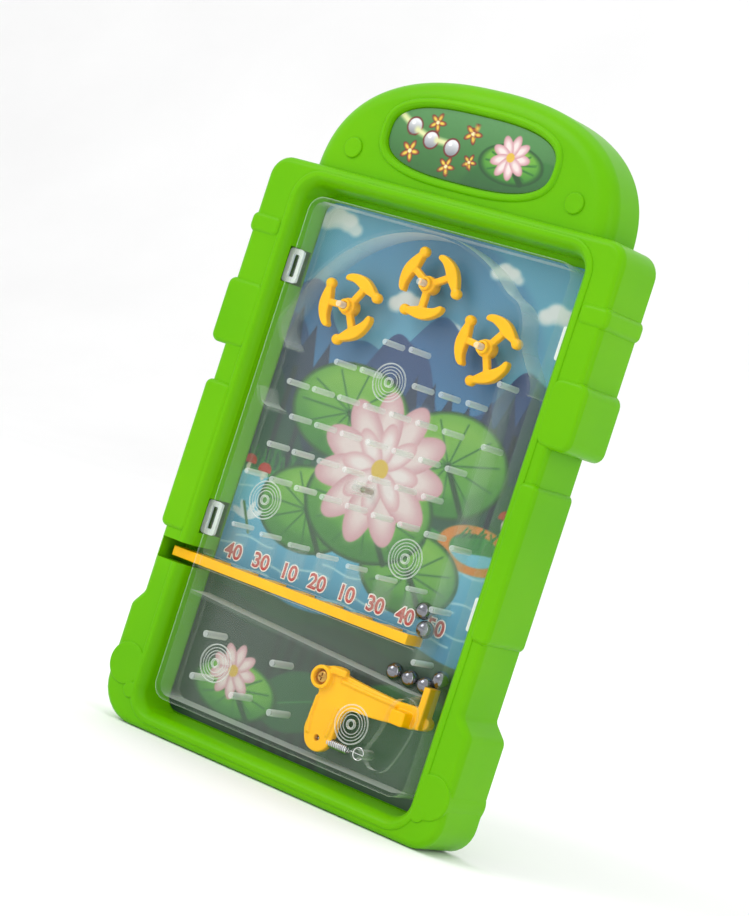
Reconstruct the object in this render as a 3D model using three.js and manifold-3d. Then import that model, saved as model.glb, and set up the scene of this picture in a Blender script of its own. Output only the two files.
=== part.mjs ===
// Handheld ball-shooting game: a bright case with a window, a clear play box with pegs, guides and
// score pockets, three free-turning spinners, a sliding gate bar, a sprung launch lever and steel balls.
// Millimetres. X runs to the player's right, Y runs from the front of the case to its back, Z is up.
// Inside the group, x and z are measured from the centre of the window and y is the depth behind the
// frontmost face. The group then puts the origin at the middle of the foot.
import * as THREE from 'three';
import { mergeVertices } from 'three/addons/utils/BufferGeometryUtils.js';
import Module from 'manifold-3d';

const wasm = await Module();
wasm.setup();

// ---- driving dimensions -------------------------------------------------------------------------
const FOOT_Z = -108.5;            // underside of the case
const FRAME_TOP_Z = 106;          // top edge of the rectangular frame
const CASE_DEPTH = 26;            // frontmost face to the back cover
const WALL = 2.2;                 // case wall
const FACE_Y = 1.0;               // front face of the plain frame
const DOME = { z: 103, a: 64.5, b: 44.5, power: 2.45, faceY: 5 };
const LABEL = { z: 124.3, a: 35.4, b: 12.3, power: 2.8, y: 6.3 };
const WINDOW = { halfX: 60.6, bottom: -100.4, top: 98.2, radius: 6, backY: 16.8 };
const BOX = { halfX: 57.5, bottom: -95.5, top: 95, radius: 6, wall: 1.5 };
const PANEL_Y = 1.5;              // outer face of the clear front panel
const PANEL_BACK_Y = 3.0;
const PEG_TIP_Y = 3.4;            // free ends of pegs and guide walls
const FLOOR_Y = 15.2;             // play surface of the tray
const FLOOR_BACK_Y = 16.2;
const BALL_R = 3.175;             // 1/4 inch steel ball
const BALL_Y = 11.6;
const GATE_GAP = 7.8;             // from one tooth of the gate bar to the next
const PEG_R = 1.1;
const PEG_PITCH = 11.7;
const GUIDE_T = 1.2;              // thickness of guide walls
const POCKET = { pitch: 13.3, first: -46.7, count: 7, bottom: -38.6, top: -27 };
const SPINNERS = {
  left: { x: -32.4, z: 59.8, turn: 148 },
  middle: { x: -2, z: 75.2, turn: 118 },
  right: { x: 29.1, z: 59.6, turn: 141 },
};
const PIN_R = 1.2;
const LANE_X = 44;                // launch lane's inner wall
const RAMP = { left: -55.6, leftZ: -55.2, right: 45, rightZ: -60.8, end: 49.6 };
const BAR = { left: -70.3, right: 38.3, bottom: -45.5, top: -41.9, front: 4.7, spine: 7.6, back: 14.8 };
const BAR_NOTCH_LEFT = -73.6;     // leaves 3.3 mm beside the bar, room for its 3.2 mm of travel
const PIVOT = { x: 9.7, z: -66.4 };
const SLOT = { radius: 37.6, first: 2, last: 28, halfWidth: 5.1, rim: 0.7 };
const SPRING = { left: 20.9, right: 30.1, z: -87.3, y: 7.5, radius: 1.7 };
const SPRING_POST = { x: 32.3, z: -86.8, r: 1.8 };
const CASE_SCREWS = [
  [-67.7, 97], [67.7, 97], [-65.2, -3], [65.2, -3], [-69.5, -98], [69.5, -98], [-47, 119], [47, 119],
];
const TAB_ZS = [68.4, -28];       // snap tabs of the clear cover
const CENTRE_BOSS = { x: -2.5, z: -0.4, r: 2.5 };

// ---- small geometry tools -----------------------------------------------------------------------
function toSolid(geometry) {
  const bare = geometry.clone();
  bare.deleteAttribute('normal');
  bare.deleteAttribute('uv');
  const merged = mergeVertices(bare, 1e-4);
  const mesh = new wasm.Mesh({
    numProp: 3,
    vertProperties: new Float32Array(merged.attributes.position.array),
    triVerts: new Uint32Array(merged.index.array),
  });
  return new wasm.Manifold(mesh);
}

function toGeometry(solid) {
  const mesh = solid.getMesh();
  const geometry = new THREE.BufferGeometry();
  geometry.setAttribute('position', new THREE.BufferAttribute(new Float32Array(mesh.vertProperties), 3));
  geometry.setIndex(new THREE.BufferAttribute(new Uint32Array(mesh.triVerts), 1));
  geometry.computeVertexNormals();
  return geometry;
}

function unite(solids) {
  return solids.reduce((sum, solid) => sum.add(solid));
}

// A prism whose outline lies in the front view (x, z) and which runs from y0 back to y1.
function prism(shape, y0, y1, curveSegments = 8) {
  const geometry = new THREE.ExtrudeGeometry(shape, { depth: y1 - y0, bevelEnabled: false, curveSegments });
  geometry.rotateX(Math.PI / 2);
  geometry.translate(0, y1, 0);
  return toSolid(geometry);
}

function box(x0, x1, z0, z1, y0, y1) {
  const geometry = new THREE.BoxGeometry(x1 - x0, y1 - y0, z1 - z0);
  geometry.translate((x0 + x1) / 2, (y0 + y1) / 2, (z0 + z1) / 2);
  return toSolid(geometry);
}

// A round rod that runs along the depth.
function rod(x, z, radius, y0, y1, sides = 12) {
  const geometry = new THREE.CylinderGeometry(radius, radius, y1 - y0, sides);
  geometry.translate(x, (y0 + y1) / 2, z);
  return toSolid(geometry);
}

function polygon(points) {
  return new THREE.Shape(points.map(([x, z]) => new THREE.Vector2(x, z)));
}

// Corner points with a radius each become one smooth closed outline.
function roundedOutline(corners, steps = 3) {
  const outline = [];
  corners.forEach(([x, z, radius], i) => {
    const here = new THREE.Vector2(x, z);
    if (!radius) {
      outline.push(here);
      return;
    }
    const [px, pz] = corners[(i + corners.length - 1) % corners.length];
    const [nx, nz] = corners[(i + 1) % corners.length];
    const toPrev = new THREE.Vector2(px, pz).sub(here).normalize();
    const toNext = new THREE.Vector2(nx, nz).sub(here).normalize();
    const half = Math.acos(THREE.MathUtils.clamp(toPrev.dot(toNext), -1, 1)) / 2;
    const reach = radius / Math.tan(half);
    const start = here.clone().addScaledVector(toPrev, reach);
    const end = here.clone().addScaledVector(toNext, reach);
    const centre = here.clone().add(toPrev.clone().add(toNext).normalize().multiplyScalar(radius / Math.sin(half)));
    const a0 = Math.atan2(start.y - centre.y, start.x - centre.x);
    let sweep = Math.atan2(end.y - centre.y, end.x - centre.x) - a0;
    if (sweep > Math.PI) sweep -= 2 * Math.PI;
    if (sweep < -Math.PI) sweep += 2 * Math.PI;
    for (let k = 0; k <= steps; k += 1) {
      const a = a0 + (sweep * k) / steps;
      outline.push(new THREE.Vector2(centre.x + radius * Math.cos(a), centre.y + radius * Math.sin(a)));
    }
  });
  return outline;
}

function roundedRect(x0, x1, z0, z1, radius, steps = 3) {
  return roundedOutline([[x0, z0, radius], [x1, z0, radius], [x1, z1, radius], [x0, z1, radius]], steps);
}

// Moves every point of a counter-clockwise outline inwards by the same distance.
function inset(outline, distance) {
  const n = outline.length;
  return outline.map((point, i) => {
    const before = point.clone().sub(outline[(i + n - 1) % n]).normalize();
    const after = outline[(i + 1) % n].clone().sub(point).normalize();
    const n1 = new THREE.Vector2(-before.y, before.x);
    const n2 = new THREE.Vector2(-after.y, after.x);
    const mitre = n1.clone().add(n2).divideScalar(1 + n1.dot(n2));
    return point.clone().addScaledVector(mitre, distance);
  });
}

// A closed solid through outlines of equal length, each at its own depth, front to back.
function loft(levels) {
  const n = levels[0].outline.length;
  const positions = [];
  levels.forEach(({ y, outline }) => outline.forEach((p) => positions.push(p.x, y, p.y)));
  const index = [];
  for (let k = 0; k + 1 < levels.length; k += 1) {
    for (let i = 0; i < n; i += 1) {
      const a = k * n + i;
      const b = k * n + ((i + 1) % n);
      index.push(a, b, b + n, a, b + n, a + n);
    }
  }
  const last = (levels.length - 1) * n;
  THREE.ShapeUtils.triangulateShape(levels[0].outline, []).forEach(([a, b, c]) => index.push(a, c, b));
  const cap = THREE.ShapeUtils.triangulateShape(levels[levels.length - 1].outline, []);
  cap.forEach(([a, b, c]) => index.push(last + a, last + b, last + c));
  // The outlines run counter-clockwise in (x, z) and y points to the back, so every face is turned over.
  for (let i = 0; i < index.length; i += 3) {
    [index[i + 1], index[i + 2]] = [index[i + 2], index[i + 1]];
  }
  const geometry = new THREE.BufferGeometry();
  geometry.setAttribute('position', new THREE.Float32BufferAttribute(positions, 3));
  geometry.setIndex(index);
  return toSolid(geometry);
}

function superellipse({ z, a, b, power }, grow = 0, sides = 40) {
  const outline = [];
  for (let i = 0; i < sides; i += 1) {
    const t = (2 * Math.PI * i) / sides;
    const c = Math.cos(t);
    const s = Math.sin(t);
    const x = (a + grow) * Math.sign(c) * Math.abs(c) ** (2 / power);
    outline.push(new THREE.Vector2(x, z + (b + grow) * Math.sign(s) * Math.abs(s) ** (2 / power)));
  }
  return outline;
}

// A thin upright wall that follows a line of points in the front view.
function guideWall(points, thickness, y0, y1) {
  const left = [];
  const right = [];
  points.forEach((point, i) => {
    const before = points[Math.max(i - 1, 0)];
    const after = points[Math.min(i + 1, points.length - 1)];
    const along = after.clone().sub(before).normalize();
    const side = new THREE.Vector2(-along.y, along.x).multiplyScalar(thickness / 2);
    left.push(point.clone().add(side));
    right.unshift(point.clone().sub(side));
  });
  return prism(new THREE.Shape([...left, ...right]), y0, y1);
}

function smoothPath(points, divisions) {
  const curve = new THREE.SplineCurve(points.map(([x, z]) => new THREE.Vector2(x, z)));
  return curve.getSpacedPoints(divisions);
}

// ---- case ---------------------------------------------------------------------------------------
// The grip on the left is 2 to 4 mm wider than the one on the right. The gate bar ends in it.
function frameOutline() {
  const right = [
    [76.6, FOOT_Z, 11], [76.6, -66.5, 4], [71, -61, 3], [71, 54, 0], [76.4, 56, 0], [76.4, FRAME_TOP_Z, 8],
  ];
  const left = [
    [-79.2, FRAME_TOP_Z, 8], [-79.2, 56, 0], [-75, 54, 0], [-75, -61, 3], [-79.2, -66.5, 4], [-79.2, FOOT_Z, 15],
  ];
  return roundedOutline([...right, ...left]);
}

function bevelled(outline, frontY, backY, bevel) {
  return loft([
    { y: frontY, outline: inset(outline, bevel) },
    { y: frontY + bevel * 0.3, outline: inset(outline, bevel * 0.3) },
    { y: frontY + bevel, outline },
    { y: backY - 0.8, outline },
    { y: backY, outline: inset(outline, 0.6) },
  ]);
}

// Raised armour blocks: left x, right x, bottom, top, front y, corner radius.
const SIDE_BLOCKS = [
  [-81.2, -64.5, 33.8, 58.4, 0.3, 3],
  [-76.8, -64.5, -36, 20.4, 0, 2.6],
  [-79.9, -65.8, 76, 83.6, 0.3, 2.6],
  [64.5, 79, 33.2, 57.2, 0.3, 4],
  [64.5, 72.4, -36, 20.4, 0, 2.6],
  [65.8, 77.9, 76, 83.6, 0.3, 2.6],
];
// Round bosses at the lower corners: x, z, radius, front y, back y.
const CORNER_BOSSES = [
  [-71.6, -88, 8, 0.5, 24.6],
  [69, -90, 8, 0.5, 24.6],
  [-66.4, -96.6, 3, 0.4, 3],
  [66.4, -96.6, 3, 0.4, 3],
];

function sideBlocks() {
  const blocks = SIDE_BLOCKS.map(([x0, x1, bottom, top, front, radius]) => (
    bevelled(roundedRect(x0, x1, bottom, top, radius, 2), front, 24.6, 1.8)
  ));
  const bosses = CORNER_BOSSES.map(([x, z, radius, y0, y1]) => rod(x, z, radius, y0, y1, radius > 5 ? 24 : 14));
  return [...blocks, ...bosses];
}

function windowOutline(grow) {
  return roundedRect(
    -WINDOW.halfX - grow, WINDOW.halfX + grow, WINDOW.bottom - grow, WINDOW.top + grow, WINDOW.radius + grow,
  );
}

function frontShell() {
  const frame = frameOutline();
  const dome = superellipse(DOME);
  const outerFrame = bevelled(frame, FACE_Y, 25, 2.6);
  const outerDome = loft([
    { y: DOME.faceY, outline: superellipse(DOME, -7) },
    { y: DOME.faceY + 1.2, outline: superellipse(DOME, -3.2) },
    { y: DOME.faceY + 3.2, outline: superellipse(DOME, -1) },
    { y: DOME.faceY + 6.5, outline: dome },
    { y: 24.2, outline: dome },
    { y: 25, outline: superellipse(DOME, -0.6) },
  ]);
  const rim = loft([
    { y: DOME.faceY - 1, outline: superellipse(LABEL, 2.2) },
    { y: DOME.faceY + 1, outline: superellipse(LABEL, 3.4) },
    { y: DOME.faceY + 2, outline: superellipse(LABEL, 3.4) },
  ]);
  const rivets = [-48.4, 48.4].map((x) => rod(x, 115, 3.8, DOME.faceY - 0.8, DOME.faceY + 2, 16));
  const outside = unite([outerFrame, outerDome, rim, ...rivets, ...sideBlocks()]);
  const frameHollow = loft([
    { y: FACE_Y + 2.6, outline: inset(frame, WALL + 0.8) },
    { y: FACE_Y + 4.6, outline: inset(frame, WALL) },
    { y: 27, outline: inset(frame, WALL) },
  ]);
  const domeHollow = loft([
    { y: DOME.faceY + 3.4, outline: superellipse(DOME, -6.5) },
    { y: DOME.faceY + 7, outline: superellipse(DOME, -WALL) },
    { y: 27, outline: superellipse(DOME, -WALL) },
  ]);
  const windowWall = prism(new THREE.Shape(windowOutline(3.6)), FACE_Y + 1, WINDOW.backY);
  const notchBlock = box(-74.5, -62, -50, -36.6, FACE_Y + 1, WINDOW.backY);
  const posts = CASE_SCREWS.map(([x, z]) => rod(x, z, 3.1, 3, 23.2, 10));
  const inside = unite([windowWall, notchBlock, ...posts]).intersect(outside);
  const opening = loft([
    { y: -1, outline: windowOutline(3.6) },
    { y: FACE_Y - 0.2, outline: windowOutline(2.8) },
    { y: FACE_Y + 3.2, outline: windowOutline(0.6) },
    { y: WINDOW.backY + 1, outline: windowOutline(0) },
  ]);
  const pilotHoles = CASE_SCREWS.map(([x, z]) => rod(x, z, 1.5, 11, 27, 8));
  const tabNotches = [-1, 1].flatMap((side) => TAB_ZS.map((z) => {
    const x0 = Math.min(side * 59, side * 65.2);
    return box(x0, x0 + 6.2, z - 6.6, z + 6.6, 4.4, WINDOW.backY + 1);
  }));
  const barNotch = box(BAR_NOTCH_LEFT, -56, -47.3, -39.6, -2, BAR.back + 0.9);
  const labelPocket = prism(new THREE.Shape(superellipse(LABEL, 0.3)), DOME.faceY - 2, LABEL.y + 0.3);
  return outside
    .subtract(frameHollow.add(domeHollow))
    .add(inside)
    .subtract(unite([opening, ...pilotHoles, ...tabNotches, barNotch, labelPocket]));
}

function backCover() {
  const edge = WALL + 0.3;
  const plate = [
    { y: 23.6, grow: 0 },
    { y: 25.4, grow: 0 },
    { y: CASE_DEPTH, grow: -0.6 },
  ];
  const frame = frameOutline();
  const framePlate = loft(plate.map(({ y, grow }) => ({ y, outline: inset(frame, edge - grow) })));
  const domePlate = loft(plate.map(({ y, grow }) => ({ y, outline: superellipse(DOME, grow - edge) })));
  const pads = [[-48, 70], [48, 70], [-48, -70], [48, -70], [0, 30], [0, -40]].map(([x, z]) => rod(x, z, 4, 19, 24.6, 16));
  const holes = CASE_SCREWS.map(([x, z]) => rod(x, z, 1.6, 22, 27, 8));
  const seats = CASE_SCREWS.map(([x, z]) => rod(x, z, 3.2, 24.6, 27, 12));
  return unite([framePlate, domePlate, ...pads]).subtract(unite([...holes, ...seats]));
}

// ---- clear play box -----------------------------------------------------------------------------
function boxOutline(shrink) {
  return roundedRect(
    -BOX.halfX + shrink, BOX.halfX - shrink, BOX.bottom + shrink, BOX.top - shrink, BOX.radius - shrink,
  );
}

// The finger slot follows an arc about the lever's pivot.
function fingerSlot(halfWidth) {
  const { radius } = SLOT;
  const first = -SLOT.first * THREE.MathUtils.DEG2RAD;
  const last = -SLOT.last * THREE.MathUtils.DEG2RAD;
  const end = (angle) => [PIVOT.x + radius * Math.cos(angle), PIVOT.z + radius * Math.sin(angle)];
  const shape = new THREE.Shape();
  shape.absarc(PIVOT.x, PIVOT.z, radius + halfWidth, first, last, true);
  shape.absarc(...end(last), halfWidth, last, last - Math.PI, true);
  shape.absarc(PIVOT.x, PIVOT.z, radius - halfWidth, last, first, false);
  shape.absarc(...end(first), halfWidth, first + Math.PI, first, true);
  return shape;
}

function playCover() {
  const shell = loft([
    { y: PANEL_Y, outline: boxOutline(0.8) },
    { y: PANEL_Y + 0.8, outline: boxOutline(0) },
    { y: FLOOR_Y - 0.3, outline: boxOutline(0) },
  ]);
  const hollow = prism(new THREE.Shape(boxOutline(BOX.wall)), PANEL_BACK_Y, FLOOR_Y);
  const slotRim = prism(fingerSlot(SLOT.halfWidth + SLOT.rim), PANEL_BACK_Y - 0.5, 4.6, 6);
  const slot = prism(fingerSlot(SLOT.halfWidth), 0, 6, 6);
  const barRibs = [
    box(-56.2, 43, BAR.top + 0.4, BAR.top + 1.4, PANEL_BACK_Y - 0.4, 4.6),
    box(-56.2, 43, BAR.bottom - 1.4, BAR.bottom - 0.4, PANEL_BACK_Y - 0.4, 4.6),
  ];
  const barGap = box(-60, -54, BAR.bottom - 0.5, BAR.top + 0.5, BAR.front - 0.4, FLOOR_Y);
  const tabs = [-1, 1].flatMap((side) => TAB_ZS.map((z) => {
    const x0 = Math.min(side * 57, side * 63.4);
    const window0 = Math.min(side * 58.6, side * 62);
    return box(x0, x0 + 6.4, z - 6, z + 6, 8, 9.4).subtract(box(window0, window0 + 3.4, z - 4.2, z + 4.2, 7, 11));
  }));
  return unite([shell.subtract(hollow), slotRim, ...barRibs, ...tabs]).subtract(slot.add(barGap));
}

function pegRow(z, count, startX, skipped = []) {
  const row = [];
  for (let i = 0; i < count; i += 1) {
    if (!skipped.includes(i)) row.push([startX + i * PEG_PITCH, z]);
  }
  return row;
}

function pegPlaces() {
  return [
    ...pegRow(51.5, 2, -7.9),
    ...pegRow(39.7, 6, -25.3, [2]),
    ...pegRow(28, 7, -42.6),
    ...pegRow(16.2, 7, -36.8),
    ...pegRow(4.5, 7, -42.6),
    ...pegRow(-7.3, 8, -48.4),
  ];
}

const PANEL_PEGS = [[-43.3, -67.6], [-11.4, -68.4], [-43.4, -83.5], [-24.2, -84.6], [-6.2, -85]];

// The arch over the top, with a deflector on the right that turns the ball into the field.
function archPath() {
  const arch = [[-49.4, 39.6], [-53, 43.4], [-54.9, 49]];
  for (let degrees = 160; degrees >= 50; degrees -= 10) {
    const a = degrees * THREE.MathUtils.DEG2RAD;
    arch.push([-1 + 54 * Math.cos(a), 37 + 55.6 * Math.sin(a)]);
  }
  arch.push([39.8, 76.8], [43.4, 71.5], [45.2, 64.8], [49.2, 58.6], [53.6, 53], [55.2, 48.2]);
  return smoothPath(arch, 34);
}

function playTray() {
  const floor = prism(new THREE.Shape(boxOutline(0)), FLOOR_Y, FLOOR_BACK_Y);
  const root = FLOOR_Y + 0.5;
  const tall = (points, divisions) => guideWall(smoothPath(points, divisions), GUIDE_T, PEG_TIP_Y, root);
  const pegs = pegPlaces().map(([x, z]) => rod(x, z, PEG_R, PEG_TIP_Y, root, 6));
  const panelPegs = PANEL_PEGS.map(([x, z]) => rod(x, z, 1.3, PEG_TIP_Y, root, 8));
  const pins = Object.values(SPINNERS).map(({ x, z }) => rod(x, z, PIN_R, PEG_TIP_Y, root, 8));
  const walls = [
    guideWall(archPath(), GUIDE_T, PEG_TIP_Y, root),
    tall([[-55.2, 23.2], [-53.8, 19.9], [-51.6, 17.5], [-48.4, 16.5]], 6),
    tall([[42.6, 49], [43.9, 27], [44.4, 5], [44.4, -22], [LANE_X, -50]], 10),
    guideWall([[RAMP.left, RAMP.leftZ], [RAMP.right, RAMP.rightZ], [RAMP.end, RAMP.rightZ]]
      .map(([x, z]) => new THREE.Vector2(x, z)), GUIDE_T, PEG_TIP_Y, root),
  ];
  const laneCaps = [[43, 49], [44.7, 27], [45.1, -9], [44.9, -31], [44.6, -50]];
  const caps = laneCaps.map(([x, z]) => rod(x, z, PEG_R, PEG_TIP_Y, root, 8));
  const dividers = [];
  for (let i = 0; i < POCKET.count; i += 1) {
    const x = POCKET.first + i * POCKET.pitch;
    dividers.push(box(x - 0.5, x + 0.5, POCKET.bottom, POCKET.top, PEG_TIP_Y, root));
    dividers.push(rod(x, POCKET.top, 0.9, PEG_TIP_Y, root, 8));
  }
  const stop = box(44, 47, RAMP.rightZ - 3.4, RAMP.rightZ, 5.2, root);
  const springPost = rod(SPRING_POST.x, SPRING_POST.z, SPRING_POST.r, 5, root, 12);
  const centreBoss = rod(CENTRE_BOSS.x, CENTRE_BOSS.z, CENTRE_BOSS.r, PEG_TIP_Y, root, 16);
  const centreHole = rod(CENTRE_BOSS.x, CENTRE_BOSS.z, 1.3, 6, 17, 12);
  const leverPost = rod(PIVOT.x, PIVOT.z, 1.9, 6.6, root, 16);
  const leverHole = rod(PIVOT.x, PIVOT.z, 1.2, 5, 14.5, 12);
  return unite([
    floor, ...pegs, ...panelPegs, ...pins, ...walls, ...caps, ...dividers,
    stop, springPost, centreBoss, leverPost,
  ]).subtract(centreHole.add(leverHole));
}

function playCard() {
  const card = prism(new THREE.Shape(roundedRect(-60, 60, -99.8, 95.4, 5)), 16.4, 16.7);
  return card.subtract(rod(CENTRE_BOSS.x, CENTRE_BOSS.z, 2, 15, 18, 12));
}

function playBase() {
  const plate = prism(new THREE.Shape(roundedRect(-61.6, 61.6, -103.6, 101.4, 7)), 17.1, 18.6);
  return plate.subtract(rod(CENTRE_BOSS.x, CENTRE_BOSS.z, 1.6, 15, 20, 12));
}

// ---- moving parts -------------------------------------------------------------------------------
// One three-armed spinner about its own hub. Each arm carries a bent hook with a ball tip.
function spinner() {
  const hub = rod(0, 0, 2.5, 6.6, 9, 16).add(rod(0, 0, 3.2, 8.6, 13.4, 16));
  const bore = rod(0, 0, PIN_R + 0.3, 5, 15, 12);
  const arms = [0, 120, 240].map((degrees) => {
    const spoke = box(1.8, 9.4, -1.3, 1.3, 9, 11.4);
    const hook = polygon([
      [9.6, -6], [11.4, -5.6], [12.6, -1.6], [12.5, 1.8], [11.2, 5.4], [9, 8.3], [6.9, 9.2],
      [5.8, 8.2], [7.4, 5.6], [7.9, 2.6], [7.9, -0.6], [8.6, -3.6],
    ]);
    const hooked = prism(hook, 8.6, 11.8);
    const tip = rod(10.4, -6.6, 1.9, 8.6, 11.8, 12);
    const arm = unite([spoke, hooked, tip]);
    return arm.rotate([0, -degrees, 0]);
  });
  return unite([hub, ...arms]).subtract(bore);
}

// A comb-shaped bar: the teeth close the pockets and the gaps between them let the balls drop.
function gateBar() {
  const spine = box(BAR.left, BAR.right, BAR.bottom, BAR.top, BAR.front, BAR.spine);
  const teeth = [];
  const toothHalf = (POCKET.pitch - GATE_GAP) / 2;
  for (let i = 0; i < POCKET.count; i += 1) {
    const centre = POCKET.first + (i - 0.5) * POCKET.pitch;
    teeth.push(box(centre - toothHalf, centre + toothHalf, BAR.bottom, BAR.top, BAR.spine - 0.5, BAR.back));
  }
  const lastTooth = POCKET.first + (POCKET.count - 1) * POCKET.pitch + GATE_GAP / 2;
  teeth.push(box(lastTooth, BAR.right, BAR.bottom, BAR.top, BAR.spine - 0.5, BAR.back));
  teeth.push(box(BAR.left, -56.5, BAR.bottom, BAR.top, BAR.spine - 0.5, 12));
  return unite([spine, ...teeth]);
}

// The launch lever about its own pivot: boss, arm with finger knob and striker, and spring arm.
function launchLever() {
  const plate = prism(polygon([
    [-0.4, -5.2], [-1.7, -17], [-1.1, -20.4], [0.6, -23.6], [3.4, -25.2], [6.6, -25.2], [9.4, -23.2],
    [10.9, -19.6], [11.3, -14], [12.4, -9.4], [15.4, -7.6], [24.2, -7.1], [33, -6.1], [41.6, -5],
    [41.6, 1.9], [30, 1.9], [9.7, 3.4], [7.9, 5.1], [2.6, 5.1], [-3.6, 1.9], [-3.9, -1.4],
  ]), 6, 9);
  const boss = rod(0, 0, 4.2, 3.6, 9, 20);
  const striker = box(41, 43.6, -5, 9.9, 5.6, 12.6);
  const tab = rod(43.4, -2.4, 2.1, 8.4, 12.6, 16);
  const knob = box(33.8, 40, -5.6, -0.4, 0.9, 7);
  const bore = rod(0, 0, 2.2, 6.4, 10, 16);
  const screwWell = rod(0, 0, 2.9, 2, 6.4, 16);
  const springEye = rod(4.8, -20.6, 1.1, 5, 10, 12);
  return unite([plate, boss, striker, tab, knob]).subtract(unite([bore, screwWell, springEye]));
}

function launchSpring() {
  const length = SPRING.right - SPRING.left;
  const geometry = new THREE.CylinderGeometry(SPRING.radius, SPRING.radius, length, 12);
  geometry.rotateZ(Math.PI / 2);
  return toSolid(geometry);
}

// A pan-head self-tapping screw that points to the front, with its head's outer face at headY.
function screwFromBack(headRadius, headY, headHeight, shankRadius, tipY) {
  const seatY = headY - headHeight;
  const profile = [
    [0, tipY], [shankRadius, tipY + 2], [shankRadius, seatY],
    [headRadius, seatY], [headRadius, headY - headHeight * 0.4], [headRadius * 0.7, headY], [0, headY],
  ].map(([radius, y]) => new THREE.Vector2(radius, y));
  return toSolid(new THREE.LatheGeometry(profile, 8));
}

// ---- assembly -----------------------------------------------------------------------------------
function plastic(colour, roughness = 0.35) {
  return new THREE.MeshStandardMaterial({ color: colour, roughness, metalness: 0 });
}

const material = {
  caseGreen: plastic(0x62c808),
  yellow: plastic(0xf6b80c),
  clear: new THREE.MeshStandardMaterial({
    color: 0xeaf4f2, roughness: 0.08, metalness: 0, transparent: true, opacity: 0.3,
  }),
  card: plastic(0x2f8f6a, 0.55),
  label: plastic(0x2f7a2c, 0.4),
  steel: new THREE.MeshStandardMaterial({ color: 0xd0d0d2, roughness: 0.12, metalness: 1 }),
  zinc: new THREE.MeshStandardMaterial({ color: 0xa9a7a0, roughness: 0.35, metalness: 1 }),
};

const machine = new THREE.Group();
machine.position.set(0, -CASE_DEPTH / 2, -FOOT_Z);

function place(name, solid, look, x = 0, z = 0, y = 0) {
  const mesh = new THREE.Mesh(toGeometry(solid), look);
  mesh.name = name;
  mesh.position.set(x, y, z);
  machine.add(mesh);
  return mesh;
}

place('front_shell', frontShell(), material.caseGreen);
place('back_cover', backCover(), material.caseGreen);
place('marquee_label', prism(new THREE.Shape(superellipse(LABEL)), LABEL.y - 0.3, LABEL.y), material.label);
place('play_cover', playCover(), material.clear);
place('play_tray', playTray(), material.clear);
place('play_card', playCard(), material.card);
place('play_base', playBase(), material.caseGreen);

Object.entries(SPINNERS).forEach(([side, { x, z, turn }]) => {
  const mesh = place(`spinner_${side}`, spinner(), material.yellow, x, z);
  const tipAngle = Math.atan2(-6.6, 10.4);
  mesh.rotation.y = -(turn * THREE.MathUtils.DEG2RAD - tipAngle);
});

place('gate_bar', gateBar(), material.yellow);
place('launch_lever', launchLever(), material.yellow, PIVOT.x, PIVOT.z);
place('launch_spring', launchSpring(), material.steel, (SPRING.left + SPRING.right) / 2, SPRING.z, SPRING.y);

const pivotScrew = screwFromBack(2.5, 0, 1.4, 0.95, -8).rotate([180, 0, 0]);
place('pivot_screw', pivotScrew, material.zinc, PIVOT.x, PIVOT.z, 4.7);
const centreScrew = screwFromBack(3, 20.2, 1.4, 1.1, 9);
place('centre_screw', centreScrew, material.zinc, CENTRE_BOSS.x, CENTRE_BOSS.z);
CASE_SCREWS.forEach(([x, z], i) => {
  place(`case_screw_${i + 1}`, screwFromBack(2.8, 25.9, 1.2, 1.25, 13), material.zinc, x, z);
});

const BALLS = [
  [52.5, -53.05], [47.1, -56.8], [40.3, -56.5], [33.5, -56.1], [39.95, -38.9], [37.35, -32.9],
];
BALLS.forEach(([x, z], i) => {
  place(`ball_${i + 1}`, toSolid(new THREE.SphereGeometry(BALL_R, 10, 7)), material.steel, x, z, BALL_Y);
});

export default machine;
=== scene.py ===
import math

import bmesh
import bpy
import numpy as np
from mathutils import Matrix, Vector


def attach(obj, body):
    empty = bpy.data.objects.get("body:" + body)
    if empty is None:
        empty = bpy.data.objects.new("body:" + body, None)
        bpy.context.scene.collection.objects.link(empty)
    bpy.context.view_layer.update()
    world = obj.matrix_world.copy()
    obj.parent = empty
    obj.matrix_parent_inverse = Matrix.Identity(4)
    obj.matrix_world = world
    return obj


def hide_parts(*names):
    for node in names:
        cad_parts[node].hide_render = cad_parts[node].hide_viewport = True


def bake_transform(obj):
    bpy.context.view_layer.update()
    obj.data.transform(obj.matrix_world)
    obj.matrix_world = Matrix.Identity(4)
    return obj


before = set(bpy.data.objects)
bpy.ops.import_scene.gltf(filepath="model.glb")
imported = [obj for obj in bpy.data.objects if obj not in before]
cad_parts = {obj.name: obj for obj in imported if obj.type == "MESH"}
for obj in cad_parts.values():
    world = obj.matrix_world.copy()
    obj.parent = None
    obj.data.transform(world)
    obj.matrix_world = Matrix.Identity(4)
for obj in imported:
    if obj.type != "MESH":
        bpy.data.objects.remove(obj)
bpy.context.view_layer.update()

# ---- dimensions, as in the CAD -------------------------------------------------------------------
MM = 0.001
CASE_BACK = 26
HALF_DEPTH = CASE_BACK / 2
SHELL_BACK = 25
BLOCK_BACK = 24.6
COVER_FRONT = 23.6
FOOT_Z = -108.5
FRAME_TOP_Z = 106
WALL = 2.2
FACE_Y = 1.0
DOME = dict(z=103, a=64.5, b=44.5, power=2.45)
DOME_Y = 5
LABEL = dict(z=124.3, a=35.4, b=12.3, power=2.8)
LABEL_Y = 6.0
WINDOW = dict(half=60.6, bottom=-100.4, top=98.2, radius=6)
WINDOW_BACK = 16.8
BOX = dict(half=57.5, bottom=-95.5, top=95, radius=6)
BOX_WALL = 1.5
PANEL_Y = 1.5
PANEL_BACK = 3.0
TIP_Y = 3.4
FLOOR_Y = 15.2
FLOOR_BACK = 16.2
CARD_Y = 16.4
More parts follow.
